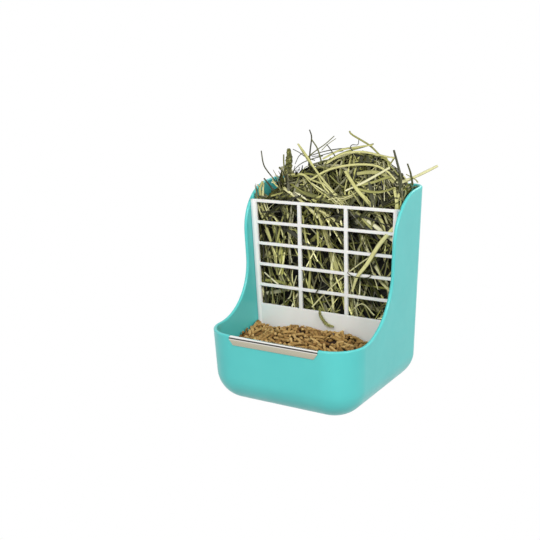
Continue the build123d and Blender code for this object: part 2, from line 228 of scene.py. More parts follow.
def white_plastic():
    """White plastic, with painted shade and a painted teal reflection along the grille's two leaning side
    edges, where they slide in the teal wall.
    """
    n = moulded_plastic("white_plastic", PALE, PALE_CLOUD, 0.34, 40.0)
    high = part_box("hay_grille")[1]
    edge = n.calculate("MULTIPLY_ADD", n.coordinate("Z"), SIDE_LEAN, high.x - high.z * SIDE_LEAN)
    inward = n.calculate("SUBTRACT", edge, n.calculate("ABSOLUTE", n.coordinate("X")))
    plain = n.shader.inputs["Base Color"].links[0].from_socket
    # painted shade and teal reflection near the side edges, multiplied over the plain colour
    tint = n.ramp(n.share(inward, 0.0, EDGE_SHADE_WIDTH), *EDGE_PAINTED_SHADE)
    n.feed(Base_Color=n.mix(1.0, plain, tint, "MULTIPLY"))
    n.feed(Specular_IOR_Level=0.5, Subsurface_Weight=0.05, Subsurface_Scale=0.003)
    return n.owner


def stainless():
    """Folded stainless sheet with fine drawing lines along X; its colour by height is painted reflections and
    highlights, the skirt's face being a painted reflection of the floor.
    """
    n = Nodes("stainless_steel")
    stretch = n.add("ShaderNodeMapping", Vector=n.place(), Scale=(6.0, 900.0, 900.0))
    lines = n.noise(1.0, detail=3.0, coords=stretch.outputs["Vector"])
    low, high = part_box("lip_guard")
    # painted reflections and highlights, in bands by height over the guard
    sheet = n.ramp(n.share(n.coordinate("Z"), low.z, high.z), *STEEL_PAINTED_REFLECTIONS)
    n.feed(
        Base_Color=n.mix(n.grey(lines, 0.0, 0.35), sheet, STEEL_WORN),
        Metallic=1.0,
        Roughness=n.grey(lines, 0.16, 0.28),
        Normal=n.bump(lines, 0.00003, 0.5),
    )
    return n.owner


def shaded(colour, share):
    return tuple(share * c for c in colour[:3]) + (1.0,)


def wire_metal(name, colour, roughness):
    n = Nodes(name)
    n.feed(
        Base_Color=n.mix(n.grey(n.noise(400.0), 0.0, 1.0), colour, shaded(colour, 0.85)),
        Metallic=1.0,
        Roughness=n.grey(n.noise(900.0), roughness, roughness + 0.1),
    )
    return n.owner


def strand_streaks(n):
    """Fine lines that run along each strand: its across and along values are in metres."""
    place = n.add(
        "ShaderNodeCombineXYZ",
        X=n.calculate("MULTIPLY", n.attribute("across"), 2600.0),
        Y=n.calculate("MULTIPLY", n.attribute("along"), 60.0),
        Z=n.calculate("MULTIPLY", n.attribute("tint"), 90.0),
    )
    return n.noise(1.0, detail=3.0, roughness=0.6, coords=place.outputs["Vector"])


def hay_material():
    """Dry grass: each stalk has its own tint and a shade value of painted shade, with fine ribs, painted
    shade along its edges, and blotches.
    """
    n = Nodes("dried_hay")
    streaks = strand_streaks(n)
    edge = n.calculate("ABSOLUTE", n.attribute("edge"))
    colour = n.ramp(n.attribute("tint"), *HAY_STOPS)
    colour = n.lay(colour, HAY_STOPS[1][1], streaks, (0.30, 0.0), (0.62, 0.25))
    colour = n.lay(colour, HAY_RIB, streaks, (0.60, 0.0), (0.78, 0.6))
    colour = n.lay(colour, HAY_BLOTCH, n.noise(150.0), (0.54, 0.0), (0.74, 0.35))
    # painted shade along each stalk's edges
    colour = n.lay(colour, HAY_EDGE_SHADE, edge, (0.62, 0.0), (1.0, 0.75))
    # painted shade: each stalk's shade value darkens its colour
    shade = n.attribute("shade")
    grey = n.add("ShaderNodeCombineColor", Red=shade, Green=shade, Blue=shade)
    n.feed(
        Base_Color=n.mix(1.0, colour, grey.outputs["Color"], "MULTIPLY"),
        Roughness=n.grey(streaks, 0.42, 0.62),
        Specular_IOR_Level=0.4,
        Normal=n.bump(streaks, 0.00012),
    )
    return n.owner


def pellet_material():
    """Pressed feed: each pellet has its own tint, with coarse flecks of bran and fibre."""
    n = Nodes("feed_pellets")
    fleck = n.noise(1400.0, detail=5.0, roughness=0.7)
    colour = n.ramp(n.attribute("tint"), *PELLET_STOPS)
    colour = n.lay(colour, BRAN, fleck, (0.52, 0.0), (0.66, 0.6))
    colour = n.lay(colour, FIBRE, fleck, (0.30, 0.5), (0.42, 0.0))
    n.feed(
        Base_Color=colour,
        Roughness=0.7,
        Specular_IOR_Level=0.3,
        Normal=n.bump(fleck, 0.00025, after=n.bump(n.noise(500.0), 0.0004)),
    )
    return n.owner


def painted_shade_fill(name, colour):
    """Painted shade: a dark fill for what lies deep between stalks or pellets."""
    n = Nodes(name)
    n.feed(
        Base_Color=n.mix(n.grey(n.noise(220.0, detail=6.0), 0.0, 1.0), colour, shaded(colour, 0.4)),
        Roughness=0.9,
        Normal=n.bump(n.noise(300.0, detail=6.0), 0.002),
    )
    return n.owner


def new_object(name, data):
    obj = bpy.data.objects.new(name, data)
    bpy.context.scene.collection.objects.link(obj)
    return obj


def paint(obj, material):
    obj.data.materials.clear()
    obj.data.materials.append(material)


# ---- meshes

def mesh_object(name, vertices, faces, attributes=None, sharp=None):
    """Smooth object from lists, with one value per vertex for each attribute."""
    mesh = bpy.data.meshes.new(name)
    mesh.from_pydata([tuple(v) for v in vertices], [], faces)
    mesh.update()
    for key, values in (attributes or {}).items():
        layer = mesh.attributes.new(key, "FLOAT", "POINT")
        layer.data.foreach_set("value", np.asarray(values, np.float32))
    mesh.polygons.foreach_set("use_smooth", [True] * len(mesh.polygons))
    if sharp is not None:
        mesh.set_sharp_from_angle(angle=math.radians(sharp))
    return new_object(name, mesh)


def ring(sides):
    return tuple((math.cos(math.tau * k / sides), math.sin(math.tau * k / sides)) for k in range(sides))


# Sections of a strand, as (across, through) in half widths
BLADE = ((-1.0, 0.0), (0.0, 0.42), (1.0, 0.0), (0.0, 0.20))
FLAT_BLADE = ((-1.0, 0.05), (0.0, -0.10), (1.0, 0.05), (0.0, -0.26))
STALK = ring(6)
PELLET = ring(9)
WIRE = ring(10)


class Bundle:
    """Many strands gathered into one mesh, each with its own tint and shade."""

    def __init__(self, name):
        self.name = name
        self.vertices, self.faces = [], []
        self.values = {"tint": [], "shade": [], "across": [], "edge": [], "along": []}

    def strand(self, points, widths, section, tint, shade, roll=0.0, twist=0.0, facing=None):
        """A strand along points, given in metres; twist is its whole turn from end to end, and
        facing the way its flat side looks."""
        points = [Vector(p) for p in points]
        count, sides = len(points), len(section)
        start = len(self.vertices)
        normal = Vector((0.31, 0.77, 0.55)).normalized()
        travelled = 0.0
        for i, point in enumerate(points):
            ahead = (points[min(i + 1, count - 1)] - points[max(i - 1, 0)]).normalized()
            across = (facing or normal).cross(ahead)
            if across.length < 1e-4:
                across = ahead.orthogonal()
            across.normalize()
            normal = ahead.cross(across)
            if i:
                travelled += (point - points[i - 1]).length
            angle = roll + twist * i / (count - 1)
            wide = across * math.cos(angle) + normal * math.sin(angle)
            deep = ahead.cross(wide)
            half = widths[i] / 2
            for a, b in section:
                self.vertices.append(point + wide * (a * half) + deep * (b * half))
                self.values["tint"].append(tint)
                self.values["shade"].append(shade)
                self.values["across"].append(a * half + 0.3 * b * half)
                self.values["edge"].append(a)
                self.values["along"].append(travelled)
        for i in range(count - 1):
            row = start + i * sides
            for k in range(sides):
                a, b = row + k, row + (k + 1) % sides
                self.faces.append((a, b, b + sides, a + sides))
        self.faces.append(tuple(start + k for k in reversed(range(sides))))
        self.faces.append(tuple(start + (count - 1) * sides + k for k in range(sides)))

    def settle(self, node, over):
        """Presses back whatever stands more than over outside a CAD node's surface."""
        tree, (low, high) = near(node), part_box(node)
        for i, vertex in enumerate(self.vertices):
            vertex = clamp(vertex, low, high, over)
            place, normal, _, _ = tree.find_nearest(vertex)
            out = vertex - place
            if out.dot(normal) > 0 and out.length > over:
                vertex = place + out.normalized() * over
            self.vertices[i] = vertex
        return self

    def make(self, material, sharp):
        obj = mesh_object(self.name, self.vertices, self.faces, self.values, sharp)
        paint(obj, material)
        return obj


def smooth_path(stations, count):
    """Curve through given stations (Catmull-Rom)."""
    stations = [Vector(s) for s in stations]
    ends = [stations[0] * 2 - stations[1]] + stations + [stations[-1] * 2 - stations[-2]]
    points = []
    for i in range(count):
        t = (len(stations) - 1) * i / (count - 1)
        k = min(int(t), len(stations) - 2)
        u = t - k
        a, b, c, d = ends[k:k + 4]
        points.append(0.5 * (
            2 * b + (c - a) * u + (2 * a - 5 * b + 4 * c - d) * u * u + (3 * b - a - 3 * c + d) * u ** 3
        ))
    return points


def bent_path(rng, middle, heading, length, turn, bow, spread, count):
    """An arc about middle that turns by turn radians and bows towards bow, give or take spread
    radians round its heading, often with one kink."""
    heading = Vector(heading).normalized()
    axis = heading.cross(bow)
    if axis.length < 0.2:
        axis = heading.orthogonal()
    axis = Matrix.Rotation(rng.uniform(-spread, spread), 3, heading) @ axis.normalized()
    kink_at = rng.randint(2, count - 2) if rng.random() < 0.25 else count
    kink = math.radians(rng.uniform(10, 50))
    kink = Matrix.Rotation(kink, 3, axis.cross(heading) + axis * rng.uniform(-1, 1))
    points = [Vector((0, 0, 0))]
    for i in range(count - 1):
        ahead = Matrix.Rotation(-turn * (i / (count - 2) - 0.5), 3, axis) @ heading
        if i >= kink_at:
            ahead = kink @ ahead
        points.append(points[-1] + ahead * (length / (count - 1)))
    shift = Vector(middle) - points[count // 2]
    return [p + shift for p in points]


# ---- camera, floor, light

def look_from_photograph():
    azimuth, elevation = math.radians(CAMERA_AZIMUTH), math.radians(CAMERA_ELEVATION)
    level = math.cos(elevation)
    back = Vector((math.sin(azimuth) * level, -math.cos(azimuth) * level, math.sin(elevation)))
    right = Vector((math.cos(azimuth), math.sin(azimuth), 0))
    up = back.cross(right)
    roll = math.radians(CAMERA_ROLL)
    right, up = right * math.cos(roll) + up * math.sin(roll), up * math.cos(roll) - right * math.sin(roll)
    camera = new_object("camera", bpy.data.cameras.new("camera"))
    turned = Matrix((right, up, back)).transposed().to_4x4()
    camera.matrix_world = Matrix.Translation(CAMERA_PLACE) @ turned
    camera.data.lens = CAMERA_LENS
    camera.data.sensor_width = SENSOR
    camera.data.clip_start = 0.01
    bpy.context.scene.camera = camera


WORLD_LIGHT = 0.55
FLOOR_LIT = (0.50, 0.50, 0.50, 1)     # the floor's colour for all but direct sight
FLOOR_REACH = 6.0


def white_room():
    """White surroundings that light the object softly, and a floor that is plain white where seen directly
    and passes on grey light elsewhere.
    """
    n = Nodes("white_room", "worlds", "Background")
    bpy.context.scene.world = n.owner
    strength = n.add("ShaderNodeMapRange", Value=n.seen_directly(), To_Min=WORLD_LIGHT, To_Max=1.0)
    n.feed(Color=WHITE, Strength=strength.outputs["Result"])

    corners = ((-1, -1, 0), (1, -1, 0), (1, 1, 0), (-1, 1, 0))
    floor = mesh_object("floor", [Vector(corner) * FLOOR_REACH for corner in corners], [(0, 1, 2, 3)])
    n = Nodes("floor_white")
    n.tree.nodes.remove(n.shader)
    blend = n.add("ShaderNodeMixShader", Fac=n.seen_directly())
    n.give(blend.inputs[1], n.add("ShaderNodeBsdfDiffuse", Color=FLOOR_LIT).outputs[0])
    n.give(blend.inputs[2], n.add("ShaderNodeEmission", Strength=1.0).outputs[0])
    n.give(n.tree.nodes["Material Output"].inputs["Surface"], blend.outputs[0])
    paint(floor, n.owner)


LIGHTS_AIM = (0, 0, 0.08)
LIGHTS = {                            # place, size and power
    "key": ((0.25, -1.1, 1.10), (0.4, 0.3), 9.0),
    "side": ((1.2, -0.45, 0.80), (0.45, 0.45), 7.5),
    "front": ((-0.2, -1.4, 0.45), (0.8, 0.6), 2.5),
    "back": ((0.2, 1.0, 0.9), (1.0, 0.6), 6.0),
}


def soft_light(name, place, size, power):
    light = bpy.data.lights.new(name, "AREA")
    light.shape = "RECTANGLE"
    light.size, light.size_y = size
    light.energy = power
    lamp = new_object(name, light)
    lamp.location = place
    lamp.rotation_euler = (Vector(LIGHTS_AIM) - Vector(place)).to_track_quat("-Z", "Y").to_euler()


def studio():
    bpy.context.scene.view_settings.view_transform = "Standard"
    look_from_photograph()
    white_room()
    for name, (place, size, power) in LIGHTS.items():
        soft_light(name, place, size, power)


# ---- the fixed CAD parts

def dress_cad_parts():
    finishes = {
        "body_shell": teal_plastic(),
        "hay_grille": white_plastic(),
        "lip_guard": stainless(),
        "left_cage_hook": wire_metal("hook_steel", HOOK_STEEL, 0.15),
    }
    finishes["right_cage_hook"] = finishes["left_cage_hook"]
    for node, material in finishes.items():
        paint(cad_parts[node], material)


# ---- hay

def near(node):
    """Search tree of a CAD node's surface."""
    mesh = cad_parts[node].data
    return BVHTree.FromPolygons([v.co for v in mesh.vertices], [tuple(p.vertices) for p in mesh.polygons])


def clamp(point, low, high, over):
    """The nearest point that lies in a box made larger by over on every side."""
    return Vector([min(max(c, a - over), b + over) for c, a, b in zip(point, low, high)])


def keep_inside(point, depth):
    """The point, or the nearest one that lies depth deep under the CAD hay's surface."""
    point = clamp(point, HAY_LOW, HAY_HIGH, -depth)
    place, normal, _, _ = HAY_TREE.find_nearest(point)
    if (point - place).dot(normal) > -depth:
        return place - normal * depth
    return point


HAY_LOW, HAY_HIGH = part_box("hay")
SHELL_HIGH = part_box("body_shell")[1]
CHAMBER_FRONT = HAY_LOW.y
CHAMBER_BACK = HAY_HIGH.y
WALL_TOP = SHELL_HIGH.z
SIDE_WALL = 0.003 + 0.0012           # shell's wall and the play beside it
HAY_TREE = near("hay")
FRONT_GAP = 0.0012                   # from the front of the CAD hay to the first stalks' middle
JUST_UNDER = 0.0009                  # depth of pressed stalks under the surface
FLUSH = 0.0003                       # how far pressed stalks may stand out of the CAD shape
SHAGGY = 0.0018                      # the same for the heap's stalks
RIM_CLEAR = 0.003                    # from here above the rim stalks may pass over it
BRIGHT, BRIGHT_LOST = 0.62, 0.22     # share of bright stalks at the surface, and what depth takes off it as painted shade
ROUND_SHARE = 0.25                   # of the stalks
WIDEST_BLADE = 5.0                   # in millimetres
UP = Vector((0, 0, 1))
TO_FRONT = Vector((0, -1, 0))


def heap_height(x, y):
    """Height of the CAD heap's surface over a point, or over the nearest one further inside."""
    middle = (CHAMBER_FRONT + CHAMBER_BACK) / 2
    for share in (1.0, 0.97, 0.93, 0.88, 0.8, 0.7):
        inside = Vector((x * share, middle + (y - middle) * share, 0.4))
        spot, _, _, _ = HAY_TREE.ray_cast(inside, -UP)
        if spot is not None:
            return spot.z
    return HAY_LOW.z


def wall_x(z):
    """Inner face of the side walls at height z."""
    return SHELL_HIGH.x - SIDE_WALL - (WALL_TOP - z) * SIDE_LEAN


def hold_in_heap(point, loose):
    """Keeps a point of the heap behind the grille and near the heap's surface."""
    x, y, z = point
    y = max(y, CHAMBER_FRONT + 0.0006)
    top = heap_height(x, y) + loose
    if z > top:
        z = top + 0.06 * (z - top)
    return Vector((x, y, z))


def cut_at_walls(path):
    """The longest stretch of a path that stays between the walls."""
    def free(point):
        over = 0.002 if point.z > WALL_TOP + RIM_CLEAR else -0.0006
        return abs(point.x) < wall_x(point.z) + over and point.y < CHAMBER_BACK + over

    best, run = [], []
    for point in path:
        run = run + [point] if free(point) else []
        if len(run) > len(best):
            best = run
    return best


def unbroken(path):
    """The longest stretch of a path that never leaves the CAD hay between two points."""
    best, run = [], [path[0]]
    for point in path[1:]:
        middle = (run[-1] + point) / 2
        place, normal, _, _ = HAY_TREE.find_nearest(middle)
        run = run + [point] if (middle - place).dot(normal) < 0.0005 else [point]
        if len(run) > len(best):
            best = run
    return best


def in_hollow(point):
    """True under the heap's surface where the CAD hay is open."""
    place, normal, _, _ = HAY_TREE.find_nearest(point)
    return (point - place).dot(normal) > 0.0015 and point.z < heap_height(point.x, point.y) - 0.003


def blade_widths(width, count, ends, swell, start, stop, power):
    """Widths along a blade: narrow ends, and a swelling that starts and stops part way."""
    return [
        width * (ends + swell * math.sin(math.pi * min(stop, start + (1 - start) * i / (count - 1))) ** power)
        for i in range(count)
    ]


def random_strand(rng, bundle, points, deep, wide=1.0):
    """Gives points a random kind, width and colour, with painted shade by depth; deep is 0 at the surface and
    1 in the dark.
    """
    count = len(points)
    # painted shade: deeper stalks are less often bright
    bright = rng.random() < BRIGHT - BRIGHT_LOST * deep
    tint = rng.uniform(0.55, 1.0) if bright else rng.uniform(0.05, 0.5)
    # painted shade: the deeper a stalk lies, the darker it is drawn; the random factor is its own tone
    shade = (1.0 - 0.97 * deep ** 0.65) * rng.uniform(0.3, 2.0)
    if rng.random() < ROUND_SHARE:
        width = rng.uniform(0.8, 1.9) * MM * wide
        widths = [width * (1.0 - 0.25 * i / count) for i in range(count)]
        bundle.strand(points, widths, STALK, tint, shade)
        return
    width = min(WIDEST_BLADE, rng.lognormvariate(0.78, 0.42)) * MM * wide
    widths = blade_widths(width, count, 0.28, 0.72, 0.12, 0.97, 0.5)
    section = BLADE if rng.random() < 0.6 else FLAT_BLADE
    bundle.strand(points, widths, section, tint, shade, rng.uniform(0, math.pi), rng.gauss(0, 0.8))


def press(rng, bundle, middle, heading, length, bow, under, deep, wide=1.0):
    """Lays one stalk under the CAD hay's surface, and leaves it out where that cuts it short."""
    path = bent_path(rng, middle, heading, length, rng.gauss(0, 0.6), bow, math.pi, 9)
    path = unbroken([keep_inside(p, under) for p in path])
    if len(path) > 3:
        random_strand(rng, bundle, path, deep, wide)


def layers(rng, top, middle, bottom):
    """How deep each stalk lies: so many near the surface, half way down, and in the dark."""
    for count, low, high in ((bottom, 0.62, 1.0), (middle, 0.28, 0.5), (top, 0.0, 0.14)):
        for _ in range(count):
            yield rng.uniform(low, high)


def front_hay(rng, name, counts, reach, thickness, heights, lengths, lean, dark):
    """Stalks pressed against the front of the load, layer behind layer."""
    bundle = Bundle(name)
    for deep in layers(rng, *counts):
        x, z = rng.uniform(-reach, reach), rng.uniform(*heights)
        middle = (x, CHAMBER_FRONT + FRONT_GAP + thickness * deep, z)
        turn = math.radians(lean(rng))
        heading = (math.sin(turn), rng.gauss(0, 0.10), math.cos(turn))
        press(rng, bundle, middle, heading, rng.uniform(*lengths), TO_FRONT, JUST_UNDER, dark * deep)
    return bundle.settle("hay", FLUSH)


def window_lean(rng):
    """Half the stalks behind the windows lean left, a quarter right and the rest anyhow."""
    kind = rng.random()
    if kind < 0.5:
        return rng.gauss(-28, 20)
    return rng.gauss(30, 18) if kind < 0.75 else rng.uniform(-90, 90)


def chamber_hay(rng):
    """What the windows show."""
    return front_hay(
        rng, "hay_behind_grille", counts=(135, 50, 300), reach=0.068, thickness=0.0125,
        heights=(0.055, 0.160), lengths=(0.025, 0.10), lean=window_lean, dark=0.82,
    )


def foot_hay(rng):
    """What the grille's kick plate hides until the grille is lifted out."""
    def lean(rng):
        return rng.gauss(0, 50)

    return front_hay(
        rng, "hay_foot", counts=(60, 20, 80), reach=0.064, thickness=0.010,
        heights=(0.010, 0.062), lengths=(0.02, 0.07), lean=lean, dark=1.0,
    )


def surface_spots(rng, node, wanted, count):
    """Random places on the faces of a CAD node that wanted(face) picks, with their normals."""
    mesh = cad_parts[node].data
    faces = [face for face in mesh.polygons if wanted(face)]
    for face in rng.choices(faces, [face.area for face in faces], k=count):
        corners = [mesh.vertices[v].co for v in face.vertices]
        a, b = sorted((rng.random(), rng.random()))
        yield corners[0] * a + corners[1] * (b - a) + corners[-1] * (1 - b), face.normal


def heap_hay(rng):
    """The heap above the grille: long blades that arch over each other, as in a nest."""
    bundle = Bundle("hay_heap")
    depths = list(layers(rng, 120, 100, 330))
    spots = surface_spots(rng, "hay", lambda f: f.normal.z > 0.1 and f.center.z > 0.150, len(depths))
    for deep, (spot, normal) in zip(depths, spots):
        kind = rng.random()
        if kind < 0.45:
            turn = rng.gauss(-42, 20)
        elif kind < 0.75:
            turn = rng.gauss(4, 18)
        else:
            turn = rng.uniform(-90, 90)
        along = Vector((1, 0, 0)) - normal * normal.x
        along.normalize()
        rise = normal.cross(along) * math.sin(math.radians(turn))
        heading = along * math.cos(math.radians(turn)) + rise + normal * rng.gauss(0, 0.12)
        length = rng.uniform(0.04, 0.11)
        middle = spot - normal * (0.018 * deep + 0.0005)
        if in_hollow(middle):
            continue
        path = bent_path(rng, middle, heading, length, abs(rng.gauss(0.45, 0.45)), normal, 0.7, 11)
        loose = max(-0.001, rng.gauss(-0.0005, 0.0012))
        path = cut_at_walls([hold_in_heap(p, loose) for p in path])
        if len(path) < 5 or sum(in_hollow(p) for p in path) > 1:
            continue
        # painted shade: stalks low in the heap, just above the grille's top bar, are drawn darker
        low_heap_shade = max(0.0, min(1.0, (0.174 - middle.z) / 0.014))
        random_strand(rng, bundle, path, min(0.95, 0.9 * deep + 0.07 + 0.35 * low_heap_shade))
    return bundle.settle("hay", SHAGGY)


def head_tuft(rng):
    """The dark, upright tangle that holds the seed head."""
    bundle = Bundle("hay_head_tuft")
    for _ in range(75):
        middle = Vector((rng.uniform(-50, -32), rng.uniform(28, 46), rng.uniform(168, 182))) * MM
        lean = math.radians(rng.gauss(10, 40))
        heading = Vector((math.sin(lean), rng.gauss(0, 0.5), math.cos(lean)))
        path = bent_path(rng, middle, heading, rng.uniform(0.012, 0.03), rng.gauss(0.2, 0.5), UP, math.pi, 7)
        path = [Vector((p.x, max(p.y, CHAMBER_FRONT + 0.003), p.z)) for p in path]
        random_strand(rng, bundle, path, rng.random() ** 1.5, 0.8)
    return bundle


def side_hay(rng):
    """Stalks on the load's flanks, back and bottom, which show when it is lifted out."""
    bundle = Bundle("hay_flanks")
    for spot, normal in surface_spots(rng, "hay", lambda f: f.normal.y > -0.9 and f.normal.z < 0.5, 1500):
        deep = rng.random() ** 1.3
        flat = abs(normal.z) > 0.7
        lean = math.radians(rng.gauss(0, 38)) * (4 if flat else 1)
        tangent = normal.orthogonal() if flat else UP
        tangent = (tangent - normal * tangent.dot(normal)).normalized()
        heading = Matrix.Rotation(lean, 3, normal) @ tangent
        middle = spot - normal * 0.006 * deep
        press(rng, bundle, middle, heading, rng.uniform(0.03, 0.09), normal, 0.0010, deep, 1.15)
    return bundle.settle("hay", FLUSH)


